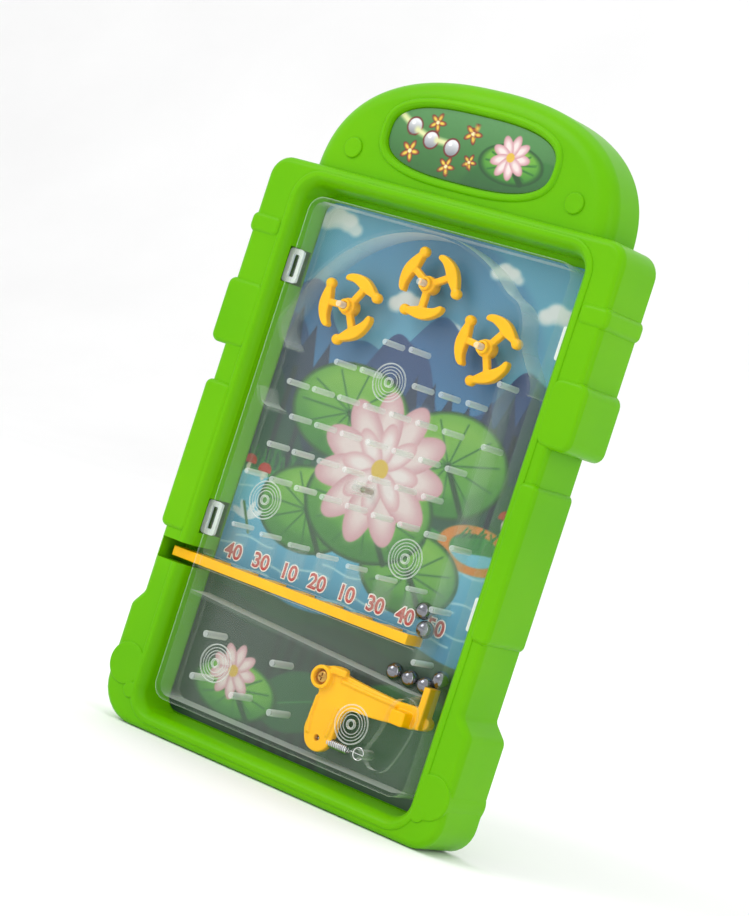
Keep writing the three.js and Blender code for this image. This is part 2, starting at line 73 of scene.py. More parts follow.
CARD_FOOT, CARD_TOP = -99.8, 95.4
SHEET = 0.3                       # thickness of the card and the label
BALL_R = 3.175
BALL_Y = 11.6
GATE_GAP = 7.8
PEG_R = 1.1
PANEL_PEG_R = 1.3
PIN_R = 1.2
PEG_PITCH = 11.7
GUIDE_THICK = 1.2
ROOT = 0.5                        # how far guide walls reach into the tray's floor
PAST = 1                          # how far a cut runs past the face that it opens
TAB_ZS = (68.4, -28)
POCKET = dict(pitch=13.3, first=-46.7, count=7, bottom=-38.6, top=-27)
SPINNERS = dict(left=(-32.4, 59.8, 148), middle=(-2, 75.2, 118), right=(29.1, 59.6, 141))
BAR = dict(left=-70.3, right=38.3, bottom=-45.5, top=-41.9, front=4.7, spine=7.6, back=14.8)
PIVOT = (9.7, -66.4)
SLOT = dict(radius=37.6, first=2, last=28, half=5.1)
SPRING_EYE = (4.8, -20.6)         # from the pivot
SPRING_POST = (32.3, -86.8)
CENTRE_BOSS = (-2.5, -0.4)
CORNER_BOSSES = [(-71.6, -88), (69, -90)]
BAR_NOTCH = (-73.6, -56, -47.3, -39.6)
NOTCH_BLOCK = (-74.5, -62, -50, -36.6)
SCREWS = [(-67.7, 97), (67.7, 97), (-65.2, -3), (65.2, -3), (-69.5, -98), (69.5, -98), (-47, 119), (47, 119)]
BALLS = [(52.5, -53.05), (47.1, -56.8), (40.3, -56.5), (33.5, -56.1), (39.95, -38.9), (37.35, -32.9)]


# ---- geometry tools ------------------------------------------------------------------------------
def at(x, y, z):
    return (x * MM, (y - HALF_DEPTH) * MM, (z - FOOT_Z) * MM)


def unit(vectors):
    return vectors / np.linalg.norm(vectors, axis=-1, keepdims=True)


def rounded(corners, steps=8):
    """Corner points with a radius each, as one smooth closed outline."""
    outline = []
    for i, (x, z, radius) in enumerate(corners):
        here = np.array((x, z), float)
        if not radius:
            outline.append(here)
            continue
        before = unit(np.array(corners[i - 1][:2]) - here)
        after = unit(np.array(corners[(i + 1) % len(corners)][:2]) - here)
        half = math.acos(np.clip(before @ after, -1, 1)) / 2
        centre = here + unit(before + after) * radius / math.sin(half)
        start = here + before * radius / math.tan(half) - centre
        end = here + after * radius / math.tan(half) - centre
        first = math.atan2(start[1], start[0])
        sweep = (math.atan2(end[1], end[0]) - first + math.pi) % (2 * math.pi) - math.pi
        for k in range(steps + 1):
            a = first + sweep * k / steps
            outline.append(centre + radius * np.array((math.cos(a), math.sin(a))))
    return np.array(outline)


def rounded_rect(x0, x1, z0, z1, radius, steps=8):
    return rounded([(x0, z0, radius), (x1, z0, radius), (x1, z1, radius), (x0, z1, radius)], steps)


def inset(outline, distance):
    """Moves a counter-clockwise outline inwards by the same distance all round."""
    before = unit(outline - np.roll(outline, 1, 0))
    after = np.roll(before, -1, 0)
    n1 = np.stack([-before[:, 1], before[:, 0]], 1)
    n2 = np.stack([-after[:, 1], after[:, 0]], 1)
    return outline + distance * (n1 + n2) / (1 + (n1 * n2).sum(1))[:, None]


def superellipse(shape, grow=0.0, sides=144):
    t = np.arange(sides) * 2 * math.pi / sides
    c, s = np.cos(t), np.sin(t)
    power = 2 / shape["power"]
    x = (shape["a"] + grow) * np.sign(c) * np.abs(c) ** power
    z = shape["z"] + (shape["b"] + grow) * np.sign(s) * np.abs(s) ** power
    return np.stack([x, z], 1)


def circle(x, z, radius, sides=32):
    t = np.arange(sides) * 2 * math.pi / sides
    return np.stack([x + radius * np.cos(t), z + radius * np.sin(t)], 1)


def spline(points, closed=False, steps=6):
    """A smooth line through the points (Catmull-Rom)."""
    points = np.array(points, float)
    n = len(points)
    line = []
    for i in range(n if closed else n - 1):
        if closed:
            p = [points[(i + k) % n] for k in (-1, 0, 1, 2)]
        else:
            p = [points[min(max(i + k, 0), n - 1)] for k in (-1, 0, 1, 2)]
        for k in range(steps):
            t = k / steps
            line.append(0.5 * (2 * p[1] + (p[2] - p[0]) * t + (2 * p[0] - 5 * p[1] + 4 * p[2] - p[3]) * t * t
                               + (3 * p[1] - p[0] - 3 * p[2] + p[3]) * t ** 3))
    if not closed:
        line.append(points[-1])
    return np.array(line)


def wall_outline(points, thickness):
    """The closed outline of a thin wall that follows a line of points."""
    points = np.array(points, float)
    along = unit(np.gradient(points, axis=0))
    side = np.stack([-along[:, 1], along[:, 0]], 1) * thickness / 2
    return np.concatenate([points - side, (points + side)[::-1]])


def loft(levels):
    """A closed body through outlines of equal length, each at its own depth: (vertices, faces)."""
    n = len(levels[0][1])
    verts = [at(x, y, z) for y, outline in levels for x, z in outline]
    faces = []
    for k in range(len(levels) - 1):
        for i in range(n):
            j = (i + 1) % n
            faces.append((k * n + i, k * n + j, (k + 1) * n + j, (k + 1) * n + i))
    last = (len(levels) - 1) * n
    faces.append(tuple(range(n)))
    faces.append(tuple(range(last, last + n)))
    return verts, faces


def plain(outline, y0, y1):
    return loft([(y0, outline), (y1, outline)])


def stepped(shape, levels):
    """A loft of one kind of outline whose size changes with depth. levels holds (depth, size) pairs."""
    return loft([(y, shape(size)) for y, size in levels])


def stepped_rod(x, z, levels, sides=32):
    return stepped(lambda radius: circle(x, z, radius, sides), levels)


def eased(outline, y0, y1, front, back=0.0, depth=None, steps=5, shrink=inset):
    """A prism with a quarter-round edge at its front, of radius front, and a bevel at its back."""
    depth = depth or front
    levels = []
    for k in range(steps + 1):
        a = math.pi / 2 * k / steps
        levels.append((y0 + depth * (1 - math.cos(a)), shrink(outline, front * (1 - math.sin(a)))))
    if back:
        levels += [(y1 - back, outline), (y1, shrink(outline, back))]
    else:
        levels.append((y1, outline))
    return loft(levels)


def rod(x, z, radius, y0, y1, ease=0.25, sides=28):
    return eased(circle(x, z, radius, sides), y0, y1, ease, steps=3)


def merge(shapes):
    """Bodies that don't touch, as one (vertices, faces)."""
    verts, faces = [], []
    for v, f in shapes:
        faces += [tuple(i + len(verts) for i in face) for face in f]
        verts += v
    return verts, faces


def turned(shape, x, z, degrees):
    """A shape made about the window's centre, turned in the front view and moved to (x, z)."""
    a = math.radians(degrees)
    c, s = math.cos(a), math.sin(a)
    verts = []
    for vx, vy, vz in shape[0]:
        u, w = vx / MM, vz / MM + FOOT_Z
        verts.append(((x + c * u - s * w) * MM, vy, (z + s * u + c * w - FOOT_Z) * MM))
    return verts, shape[1]


def put(name, data):
    """A new object in the scene."""
    thing = bpy.data.objects.new(name, data)
    bpy.context.scene.collection.objects.link(thing)
    return thing


def mesh_object(name, shape):
    mesh = bpy.data.meshes.new(name)
    mesh.from_pydata(shape[0], [], shape[1])
    bm = bmesh.new()
    bm.from_mesh(mesh)
    bmesh.ops.recalc_face_normals(bm, faces=bm.faces)
    bm.to_mesh(mesh)
    bm.free()
    return put(name, mesh)


def apply_modifiers(piece):
    graph = bpy.context.evaluated_depsgraph_get()
    piece.data = bpy.data.meshes.new_from_object(piece.evaluated_get(graph))
    piece.modifiers.clear()


def carve(name, steps):
    """One closed mesh from a list of steps: ("+", shape) joins a shape on, ("-", shape) cuts it away."""
    piece = mesh_object(name, steps[0][1])
    tools = []
    for sign, shape in steps[1:]:
        tool = mesh_object("tool", shape)
        tools.append(tool)
        modifier = piece.modifiers.new("carve", "BOOLEAN")
        modifier.object = tool
        modifier.operation = "UNION" if sign == "+" else "DIFFERENCE"
        modifier.solver = "MANIFOLD"
    apply_modifiers(piece)
    for tool in tools:
        bpy.data.objects.remove(tool)
    return piece


def shade(piece, angle=32, weighted=True):
    """Smooth shading that keeps sharp edges and flat faces."""
    piece.data.shade_smooth()
    piece.data.set_sharp_from_angle(angle=math.radians(angle))
    if weighted:
        piece.modifiers.new("normals", "WEIGHTED_NORMAL").keep_sharp = True
    return piece


def soften(piece, voxel, rounds=6):
    """Moulded look for a small part: every edge and every inner corner gets a small radius."""
    remesh = piece.modifiers.new("remesh", "REMESH")
    remesh.mode = "VOXEL"
    remesh.voxel_size = voxel * MM
    smooth = piece.modifiers.new("smooth", "SMOOTH")
    smooth.factor = 0.5
    smooth.iterations = rounds
    apply_modifiers(piece)
    piece.data.shade_smooth()
    return piece


def stand_in(piece, body, material, slot, *nodes):
    """Gives a new piece its material, its body and the CAD nodes it stands for."""
    piece.data.materials.clear()
    piece.data.materials.append(material)
    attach(piece, body)
    if nodes:
        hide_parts(*nodes)
    return piece


# ---- materials -----------------------------------------------------------------------------------
GRAIN_HEIGHT = 0.4 * MM


def linear(rgb):
    """A screen colour from 0 to 255 as the linear colour that shaders use."""
    c = np.asarray(rgb, float) / 255
    return np.where(c <= 0.04045, c / 12.92, ((c + 0.055) / 1.055) ** 2.4)


def set_inputs(node, values):
    for socket, value in values.items():
        node.inputs[socket].default_value = value


def add_node(tree, kind, **values):
    """A new shader node. An input whose name has a space is given with an underscore."""
    node = tree.nodes.new("ShaderNode" + kind)
    set_inputs(node, {name.replace("_", " "): value for name, value in values.items()})
    return node


def surface(name, dark, light, roughness, spread=0.06, patch=40, grain=2600, bump=0.02, sockets=None):
    """A moulded, printed or metal surface, with two tones, uneven gloss and a grain."""
    material = bpy.data.materials.new(name)
    material.use_nodes = True
    tree = material.node_tree
    shader = tree.nodes["Principled BSDF"]
    place = add_node(tree, "TexCoord").outputs["Object"]

    def noise(scale, detail):
        node = add_node(tree, "TexNoise", Scale=scale, Detail=detail)
        tree.links.new(place, node.inputs["Vector"])
        return node.outputs["Fac"]

    if dark is not None:
        tones = add_node(tree, "ValToRGB")
        for element, position, colour in zip(tones.color_ramp.elements, (0.3, 0.7), (dark, light)):
            element.position = position
            element.color = (*linear(colour), 1)
        tree.links.new(noise(patch, 4), tones.inputs["Fac"])
        tree.links.new(tones.outputs["Color"], shader.inputs["Base Color"])
    gloss = add_node(tree, "MapRange", To_Min=max(roughness - spread, 0.01), To_Max=roughness + spread)
    tree.links.new(noise(patch * 5, 6), gloss.inputs["Value"])
    tree.links.new(gloss.outputs["Result"], shader.inputs["Roughness"])
    relief = add_node(tree, "Bump", Strength=bump, Distance=GRAIN_HEIGHT)
    tree.links.new(noise(grain, 3), relief.inputs["Height"])
    tree.links.new(relief.outputs["Normal"], shader.inputs["Normal"])
    set_inputs(shader, sockets or {})
    return material


def see_through(material, face_on, edge_on, falloff):
    """Clear moulding. It shows least where it is met face on and turns bright and milky edge on.
    Its inner sides don't show at all, and lamps shine straight through it."""
    tree = material.node_tree

    def calculate(operation, first, second):
        node = add_node(tree, "Math")
        node.operation = operation
        for socket, value in zip(node.inputs, (first, second)):
            if isinstance(value, float):
                socket.default_value = value
            else:
                tree.links.new(value, socket)
        return node.outputs["Value"]

    slant = add_node(tree, "LayerWeight", Blend=0.5)
    rise = calculate("POWER", slant.outputs["Facing"], falloff)
    share = calculate("ADD", calculate("MULTIPLY", rise, edge_on - face_on), face_on)
    outer = calculate("SUBTRACT", 1.0, add_node(tree, "NewGeometry").outputs["Backfacing"])
    seen = calculate("SUBTRACT", 1.0, add_node(tree, "LightPath").outputs["Is Shadow Ray"])
    bare = add_node(tree, "BsdfTransparent", Color=(0.98, 0.99, 0.985, 1))
    mix = add_node(tree, "MixShader")
    tree.links.new(calculate("MULTIPLY", share, calculate("MULTIPLY", outer, seen)), mix.inputs[0])
    tree.links.new(bare.outputs["BSDF"], mix.inputs[1])
    tree.links.new(tree.nodes["Principled BSDF"].outputs["BSDF"], mix.inputs[2])
    tree.links.new(mix.outputs["Shader"], tree.nodes["Material Output"].inputs["Surface"])
    return material


def clear_surface(name, face_on, edge_on, falloff):
    skin = surface(name, (224, 232, 228), (240, 246, 242), 0.16, spread=0.05, patch=30, grain=500,
                   bump=0.004, sockets={"Specular IOR Level": 0.7})
    return see_through(skin, face_on, edge_on, falloff)


def print_on(name, roughness, coat, depth):
    """Printed card or film: the picture is in the mesh's own colours, under a thin lacquer."""
    material = surface(name, None, None, roughness, spread=0.05, patch=30, grain=1800, bump=0.03,
                       sockets={"Coat Weight": coat, "Coat Roughness": 0.12})
    tree = material.node_tree
    ink = add_node(tree, "VertexColor")
    ink.layer_name = "ink"
    fibre = add_node(tree, "TexNoise", Scale=900, Detail=5)
    tree.links.new(tree.nodes["Texture Coordinate"].outputs["Object"], fibre.inputs["Vector"])
    level = add_node(tree, "MapRange", To_Min=depth * 0.94, To_Max=depth * 1.06)
    tree.links.new(fibre.outputs["Fac"], level.inputs["Value"])
    scale = add_node(tree, "VectorMath")
    scale.operation = "SCALE"
    tree.links.new(ink.outputs["Color"], scale.inputs[0])
    tree.links.new(level.outputs["Result"], scale.inputs["Scale"])
    tree.links.new(scale.outputs["Vector"], tree.nodes["Principled BSDF"].inputs["Base Color"])
    return material


CASE = surface("case_green", (90, 168, 0), (104, 178, 0), 0.34, patch=14, bump=0.035,
               sockets={"Specular IOR Level": 0.1, "Subsurface Weight": 0.06, "Subsurface Scale": 0.002})
YELLOW = surface("yellow_plastic", (238, 172, 0), (246, 184, 2), 0.3, patch=60,
                 sockets={"Specular IOR Level": 0.2, "Subsurface Weight": 0.1, "Subsurface Scale": 0.0015})
CLEAR = clear_surface("clear_plastic", 0.008, 0.95, 2.6)
CLEAR_WALLS = clear_surface("clear_walls", 0.008, 0.95, 2.0)
CLEAR_RODS = clear_surface("clear_rods", 0.25, 0.95, 1.0)
MILKY = surface("tab_plastic", (214, 222, 216), (232, 238, 232), 0.35, patch=60)
# painted shade: both steel tones are darker than bare steel, standing in for the dark surroundings that the
# balls reflect
STEEL = surface("ball_steel", (112, 112, 120), (140, 140, 146), 0.07, spread=0.03, patch=300,
                sockets={"Metallic": 1.0})
WIRE = surface("spring_wire", (190, 190, 194), (225, 225, 226), 0.18, patch=400, sockets={"Metallic": 1.0})
ZINC = surface("screw_zinc", (168, 162, 146), (206, 200, 184), 0.3, spread=0.12, patch=300, bump=0.1,
               sockets={"Metallic": 1.0})
BRASS = surface("screw_gilt", (176, 132, 60), (206, 166, 86), 0.3, spread=0.1, patch=300, bump=0.1,
                sockets={"Metallic": 1.0})
CARD = print_on("printed_card", 0.42, 0.15, 0.62)
FILM = print_on("printed_label", 0.3, 0.4, 0.8)


# ---- case ----------------------------------------------------------------------------------------
def frame_outline():
    """The case without its dome, slightly wider on the left than on the right."""
    right = [(76.6, FOOT_Z, 11), (76.6, -66.5, 4), (71, -61, 3), (71, 54, 0), (76.4, 56, 0),
             (76.4, FRAME_TOP_Z, 8)]
    left = [(-79.2, FRAME_TOP_Z, 8), (-79.2, 56, 0), (-75, 54, 0), (-75, -61, 3), (-79.2, -66.5, 4),
            (-79.2, FOOT_Z, 15)]
    return rounded(right + left)


def window(grow):
    w = WINDOW
    return rounded_rect(-w["half"] - grow, w["half"] + grow, w["bottom"] - grow, w["top"] + grow,
                        w["radius"] + grow, 10)


def block(x0, x1, z0, z1, y0, y1):
    return plain(np.array([(x0, z0), (x1, z0), (x1, z1), (x0, z1)], float), y0, y1)


# x from and to, z from and to, front face, corner radius
SIDE_BLOCKS = [
    (-81.2, -64.5, 33.8, 58.4, 0.3, 3),
    (-76.8, -64.5, -36, 20.4, 0, 2.6),
    (-79.9, -65.8, 76, 83.6, 0.3, 2.6),
    (64.5, 79, 33.2, 57.2, 0.3, 4),
    (64.5, 72.4, -36, 20.4, 0, 2.6),
    (65.8, 77.9, 76, 83.6, 0.3, 2.6),
]


def dome_outline(grow):
    return superellipse(DOME, grow)


def label_outline(grow):
    return superellipse(LABEL, grow)


def dome_inset(_, distance):
    return dome_outline(-distance)


def case_front():
    """The frame with its dome and grips, hollowed from behind, with the window cut through."""
    outline = frame_outline()
    behind = CASE_BACK + PAST
    dome_edge = 7
    foot_z, brow_z = -96.6, 115
    steps = [
        ("+", eased(outline, FACE_Y, SHELL_BACK, 2.6, back=0.7, steps=7)),
        ("+", eased(dome_outline(0), DOME_Y, SHELL_BACK, dome_edge, back=0.6, depth=6.5, steps=10,
                    shrink=dome_inset)),
        ("+", stepped(label_outline, [(4.0, 2.1), (4.12, 2.7), (4.5, 3.2), (5.1, 3.5), (7, 3.6)])),
        ("+", merge([rod(x, brow_z, 3.8, 4.2, 7, 0.5, 48) for x in (-48.4, 48.4)])),
        ("+", merge([eased(rounded_rect(x0, x1, z0, z1, radius, 6), front, BLOCK_BACK, 1.8, back=0.6)
                     for x0, x1, z0, z1, front, radius in SIDE_BLOCKS])),
        ("+", merge([rod(x, z, 8, 0.5, BLOCK_BACK, 0.7, 64) for x, z in CORNER_BOSSES])),
        ("+", merge([rod(x, foot_z, 3, 0.4, 3, 0.5, 40) for x in (-66.4, 66.4)])),
        ("+", stepped(window, [(0.5, 4.0), (0.42, 4.6), (0.5, 5.1), (0.75, 5.4), (1.4, 5.6)])),
        ("-", stepped(lambda distance: inset(outline, distance),
                      [(FACE_Y + 2.6, WALL + 0.8), (FACE_Y + 4.6, WALL), (behind, WALL)])),
        ("-", stepped(dome_outline, [(DOME_Y + 3.4, -6.5), (DOME_Y + 7, -WALL), (behind, -WALL)])),
        ("+", plain(window(3.6), FACE_Y + 1, WINDOW_BACK)),
        ("+", block(*NOTCH_BLOCK, FACE_Y + 1, WINDOW_BACK)),
        ("+", merge([rod(x, z, 3.1, 3.2 if z < FRAME_TOP_Z else 9, 23.2, 0.2) for x, z in SCREWS])),
        ("-", stepped(window, [(-1, 4.6), (0.42, 4.0), (0.6, 3.4), (1.1, 2.7), (2.0, 1.9), (3.2, 1.2),
                               (4.6, 0.6), (WINDOW_BACK + PAST, 0)])),
        ("-", merge([plain(circle(x, z, 1.5), 11, behind) for x, z in SCREWS])),
    ]
    for z in TAB_ZS:
        sockets = [block(x0, x1, z - 6.6, z + 6.6, 4.4, WINDOW_BACK + PAST)
                   for x0, x1 in ((-65.2, -59), (59, 65.2))]
        steps.append(("-", merge(sockets)))
    steps.append(("-", block(*BAR_NOTCH, -2, BAR["back"] + 0.9)))
    pocket = [(3, 2.2), (4.05, 1.7), (4.4, 1.1), (5.0, 0.6), (LABEL_Y + 0.6, 0.3)]
    steps.append(("-", stepped(label_outline, pocket)))
    return shade(carve("case_front", steps))


def case_back():
    """The back cover: a plate with a soft rim, screw wells, pads inside and a shallow field outside."""
    edge = WALL + 0.3
    outline = frame_outline()
    rim = [(COVER_FRONT, edge), (25.4, edge), (25.8, edge + 0.2), (CASE_BACK, edge + 0.6)]
    pads = [(-48, 70), (48, 70), (-48, -70), (48, -70), (0, 30), (0, -40)]
    field = rounded_rect(-50, 50, -84, 84, 6)
    steps = [
        ("+", stepped(lambda distance: inset(outline, distance), rim)),
        ("+", stepped(lambda distance: dome_outline(-distance), rim)),
        ("+", merge([rod(x, z, 4, 19, 24.6) for x, z in pads])),
        ("-", merge([plain(circle(x, z, 1.6), 22, CASE_BACK + PAST) for x, z in SCREWS])),
        ("-", merge([stepped_rod(x, z, [(24.6, 3.2), (25.6, 3.2), (26.4, 4)]) for x, z in SCREWS])),
        ("-", loft([(25.7, inset(field, 0.2)), (26.2, field), (CASE_BACK + PAST, field)])),
    ]
    return shade(carve("case_back", steps))


stand_in(case_front(), "case", CASE, "case_green", "front_shell")
stand_in(case_back(), "case", CASE, "case_green", "back_cover")
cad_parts["play_base"].data.materials.clear()
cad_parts["play_base"].data.materials.append(CASE)


# ---- clear play box and tray ---------------------------------------------------------------------
def box_outline(shrink=0.0):
    b = BOX
    return rounded_rect(-b["half"] + shrink, b["half"] - shrink, b["bottom"] + shrink, b["top"] - shrink,
                        b["radius"] - shrink, 10)


def slot_outline(half):
    first, last = -math.radians(SLOT["first"]), -math.radians(SLOT["last"])
    radius = SLOT["radius"]
    points = []

    def arc(cx, cz, r, a0, a1, steps):
        for k in range(steps + 1):
            a = a0 + (a1 - a0) * k / steps
            points.append((cx + r * math.cos(a), cz + r * math.sin(a)))

    def end(a):
        return PIVOT[0] + radius * math.cos(a), PIVOT[1] + radius * math.sin(a)

    arc(*PIVOT, radius + half, last, first, 16)
    arc(*end(first), half, first, first + math.pi, 14)
    arc(*PIVOT, radius - half, first, last, 16)
    arc(*end(last), half, last + math.pi, last + 2 * math.pi, 14)
    keep = [p for i, p in enumerate(points) if math.dist(p, points[i - 1]) > 1e-6]
    return np.array(keep)


RING_MARKS = [(0.8, 38.2), (-34.8, -15), (30, -17.7), (-33.3, -75.8), (29.9, -77.4)]


def clear_cover():
    """The outer box, with a rim behind the lever's slot and two rails beside the gate bar."""
    shell = eased(box_outline(), PANEL_Y, FLOOR_Y - 0.3, 1.3, steps=5)
    hollow = eased(box_outline(BOX_WALL), PANEL_BACK, FLOOR_Y + PAST, 0.8, steps=4)
    rails = [block(-56.2, 43, z, z + 1, PANEL_BACK - 0.4, 4.6)
             for z in (BAR["top"] + 0.4, BAR["bottom"] - 1.4)]
    gap = block(-60, -54, BAR["bottom"] - 0.5, BAR["top"] + 0.5, BAR["front"] - 0.4, FLOOR_Y + PAST)
    steps = [
        ("+", shell),
        ("-", hollow),
        ("+", plain(slot_outline(SLOT["half"] + 0.7), PANEL_BACK - 0.5, 4.6)),
        ("+", merge(rails)),
        ("-", plain(slot_outline(SLOT["half"]), 0, 6)),
        ("-", gap),
    ]
    return shade(carve("clear_cover", steps))


def ring(x, z, radius, width, y0, y1, sides=48):
    """A thin raised ring about an axis that runs along the depth."""
    half, ease = width / 2, width * 0.3
    section = [(radius - half, y1), (radius - half, y0 + ease), (radius - half + ease, y0),
               (radius + half - ease, y0), (radius + half, y0 + ease), (radius + half, y1)]
    verts = [at(px, y, pz) for r, y in section for px, pz in circle(x, z, r, sides)]
    faces = []
    for k in range(len(section)):
        row, above = k * sides, (k + 1) % len(section) * sides
        for i in range(sides):
            j = (i + 1) % sides
            faces.append((row + i, row + j, above + j, above + i))
    return verts, faces


# radius, width and height
RINGS = [(6.8, 0.45, 0.45), (5.6, 0.3, 0.3), (4.5, 0.3, 0.3), (3.4, 0.3, 0.3), (1.5, 0.7, 0.9)]


def ring_marks():
    """The raised rings on the clear cover, each set around a short tube."""
    rings = [ring(x, z, radius, width, PANEL_Y - height, PANEL_Y - 0.02)
             for x, z in RING_MARKS for radius, width, height in RINGS]
    return shade(mesh_object("ring_marks", merge(rings)))


def peg_row(z, count, start, skipped=()):
    return [(start + i * PEG_PITCH, z) for i in range(count) if i not in skipped]


PEGS = (peg_row(51.5, 2, -7.9) + peg_row(39.7, 6, -25.3, (2,)) + peg_row(28, 7, -42.6)
        + peg_row(16.2, 7, -36.8) + peg_row(4.5, 7, -42.6) + peg_row(-7.3, 8, -48.4))
PANEL_PEGS = [(-43.3, -67.6), (-11.4, -68.4), (-43.4, -83.5), (-24.2, -84.6), (-6.2, -85)]


def arch_line():
    arch = [(-49.4, 39.6), (-53, 43.4), (-54.9, 49)]
    for degrees in range(160, 49, -10):
        a = math.radians(degrees)
        arch.append((-1 + 54 * math.cos(a), 37 + 55.6 * math.sin(a)))
    arch += [(39.8, 76.8), (43.4, 71.5), (45.2, 64.8), (49.2, 58.6), (53.6, 53), (55.2, 48.2)]
    return spline(arch, steps=5)


def divider_xs():
    return [POCKET["first"] + i * POCKET["pitch"] for i in range(POCKET["count"])]


def clear_tray():
    """The floor of the play box with its arch, guide walls, ramp, bosses and pocket dividers."""
    root = FLOOR_Y + ROOT
    floor = eased(box_outline(), FLOOR_Y, FLOOR_BACK, 0.15, steps=2)
    lane = spline([(42.6, 49), (43.9, 27), (44.4, 5), (44.4, -22), (44, -50)])
    left = spline([(-55.2, 23.2), (-53.8, 19.9), (-51.6, 17.5), (-48.4, 16.5)])
    ramp = [(-55.6, -55.2), (20, -59.41), (45, -60.8), (47, -60.8), (49.6, -60.8)]
    walls = [eased(wall_outline(line, GUIDE_THICK), TIP_Y, root, 0.2, steps=2)
             for line in (arch_line(), left, lane)]
    walls.append(plain(wall_outline(ramp, GUIDE_THICK), TIP_Y, root))
    bosses = [rod(*SPRING_POST, 1.8, 5, root), rod(*CENTRE_BOSS, 2.5, TIP_Y, root),
              rod(*PIVOT, 1.9, 6.6, root)]
    fins = [block(x - 0.5, x + 0.5, POCKET["bottom"], POCKET["top"], TIP_Y, root) for x in divider_xs()]
    bores = [plain(circle(*CENTRE_BOSS, 1.3), 6, 17), plain(circle(*PIVOT, 1.2), 5, 14.5)]
    steps = [
        ("+", floor),
        ("+", merge(walls)),
        ("+", merge(bosses)),
        ("+", merge(fins)),
        ("+", block(44, 47, -64.2, -60.8, 5.2, root)),
        ("-", merge(bores)),
    ]
    return shade(carve("clear_tray", steps))


LANE_CAPS = [(43, 49), (44.7, 27), (45.1, -9), (44.9, -31), (44.6, -50)]


def clear_rods():
    """Pegs, spinner pins and the round ends of the dividers and of the lane's wall, moulded on the tray."""
    foot = FLOOR_Y - 0.02
    rods = [rod(x, z, PEG_R, TIP_Y, foot, 0.4) for x, z in PEGS + LANE_CAPS]
    rods += [rod(x, z, PANEL_PEG_R, TIP_Y, foot, 0.4) for x, z in PANEL_PEGS]
    rods += [rod(x, z, PIN_R, TIP_Y, foot, 0.4) for x, z, _ in SPINNERS.values()]
    rods += [rod(x, POCKET["top"], 0.9, TIP_Y, foot, 0.3) for x in divider_xs()]
    return shade(mesh_object("tray_rods", merge(rods)))


def snap_tabs():
    """The clear cover's four snap tabs: frames that hook into the case."""
    tabs = []
    for side in (-1, 1):
        mirror = np.array((side, 1))
        for z in TAB_ZS:
            outer = rounded_rect(57.6, 63.4, z - 6, z + 6, 0.8, 4) * mirror
            inner = rounded_rect(58.9, 61.9, z - 4.2, z + 4.2, 0.5, 4) * mirror
            tabs += [("+", eased(outer, 7.9, 9.5, 0.3)), ("-", plain(inner, 7, 11))]
    return shade(carve("snap_tabs", tabs))


def let_light_in(piece):
    """Clear pieces are seen by the eye alone, so the picture card and the balls behind them stay bright."""
    piece.visible_shadow = False
    piece.visible_diffuse = False
    piece.visible_glossy = False


let_light_in(stand_in(clear_cover(), "case", CLEAR, "clear_plastic", "play_cover"))
let_light_in(stand_in(clear_tray(), "case", CLEAR_WALLS, "clear_plastic", "play_tray"))
let_light_in(stand_in(clear_rods(), "case", CLEAR_RODS, "clear_plastic"))
let_light_in(stand_in(ring_marks(), "case", CLEAR_RODS, "clear_plastic"))
stand_in(snap_tabs(), "case", MILKY, "clear_plastic")


# ---- yellow moving parts -------------------------------------------------------------------------
SPINNER_TIP = (10.4, -6.6)


def spinner_shape():
    """One spinner about its own hub, with its first ball tip below the right-hand side."""
    hook = spline([(9.6, -6), (11.3, -5.6), (12.3, -1.8), (12.4, 1.8), (11.2, 5.2), (9, 8.1), (7, 9),
                   (6, 8), (7.3, 5.6), (7.9, 2.6), (8, -0.6), (8.7, -3.6)], closed=True, steps=5)
    spoke = np.array([(1.8, -1.25), (9.4, -1.25), (9.4, 1.25), (1.8, 1.25)], float)
    hub = [(6.6, 2.2), (6.9, 2.5), (8.6, 2.5), (8.65, 3.0), (9, 3.2), (13.4, 3.2)]
    tip = [(8.3, 0.9), (8.7, 1.6), (9.4, 1.95), (11, 1.95), (11.7, 1.6), (12.1, 0.9)]
    arm = [eased(hook, 8.6, 11.8, 0.6), eased(spoke, 9, 11.4, 0.6), stepped_rod(*SPINNER_TIP, tip)]
    parts = [stepped_rod(0, 0, hub)]
    for degrees in (0, 120, 240):
        parts += [turned(shape, 0, 0, degrees) for shape in arm]
    return parts


def make_spinners():
    bore = plain(circle(0, 0, 1.5), 5, 15)
    parts = spinner_shape()
    tip_angle = math.degrees(math.atan2(SPINNER_TIP[1], SPINNER_TIP[0]))
    for side, (x, z, turn) in SPINNERS.items():
        steps = [("+" if i < len(parts) else "-", turned(shape, x, z, turn - tip_angle))
                 for i, shape in enumerate([*parts, bore])]
        piece = soften(carve(f"spinner_{side}_blades", steps), 0.24, 5)
        stand_in(piece, f"spinner_{side}", YELLOW, "yellow_plastic", f"spinner_{side}")


def make_gate():
    """The comb: its teeth close the pockets, and the gaps between them let the balls drop."""
    b = BAR
    face = np.array([(b["left"], b["bottom"]), (b["right"], b["bottom"]), (b["right"], b["top"]),
                     (b["left"], b["top"])], float)
    half = (POCKET["pitch"] - GATE_GAP) / 2
    middles = [x - POCKET["pitch"] / 2 for x in divider_xs()]
    spans = [(x - half, x + half, b["back"]) for x in middles]
    spans.append((divider_xs()[-1] + GATE_GAP / 2, b["right"], b["back"]))
    spans.append((b["left"], -56.5, 12))
    teeth = [block(x0, x1, b["bottom"], b["top"], b["spine"] - 0.5, back) for x0, x1, back in spans]
    spine = eased(face, b["front"], b["spine"], 0.35, steps=3)
    piece = shade(carve("gate_comb", [("+", spine), ("+", merge(teeth))]))
    stand_in(piece, "gate_bar", YELLOW, "yellow_plastic", "gate_bar")


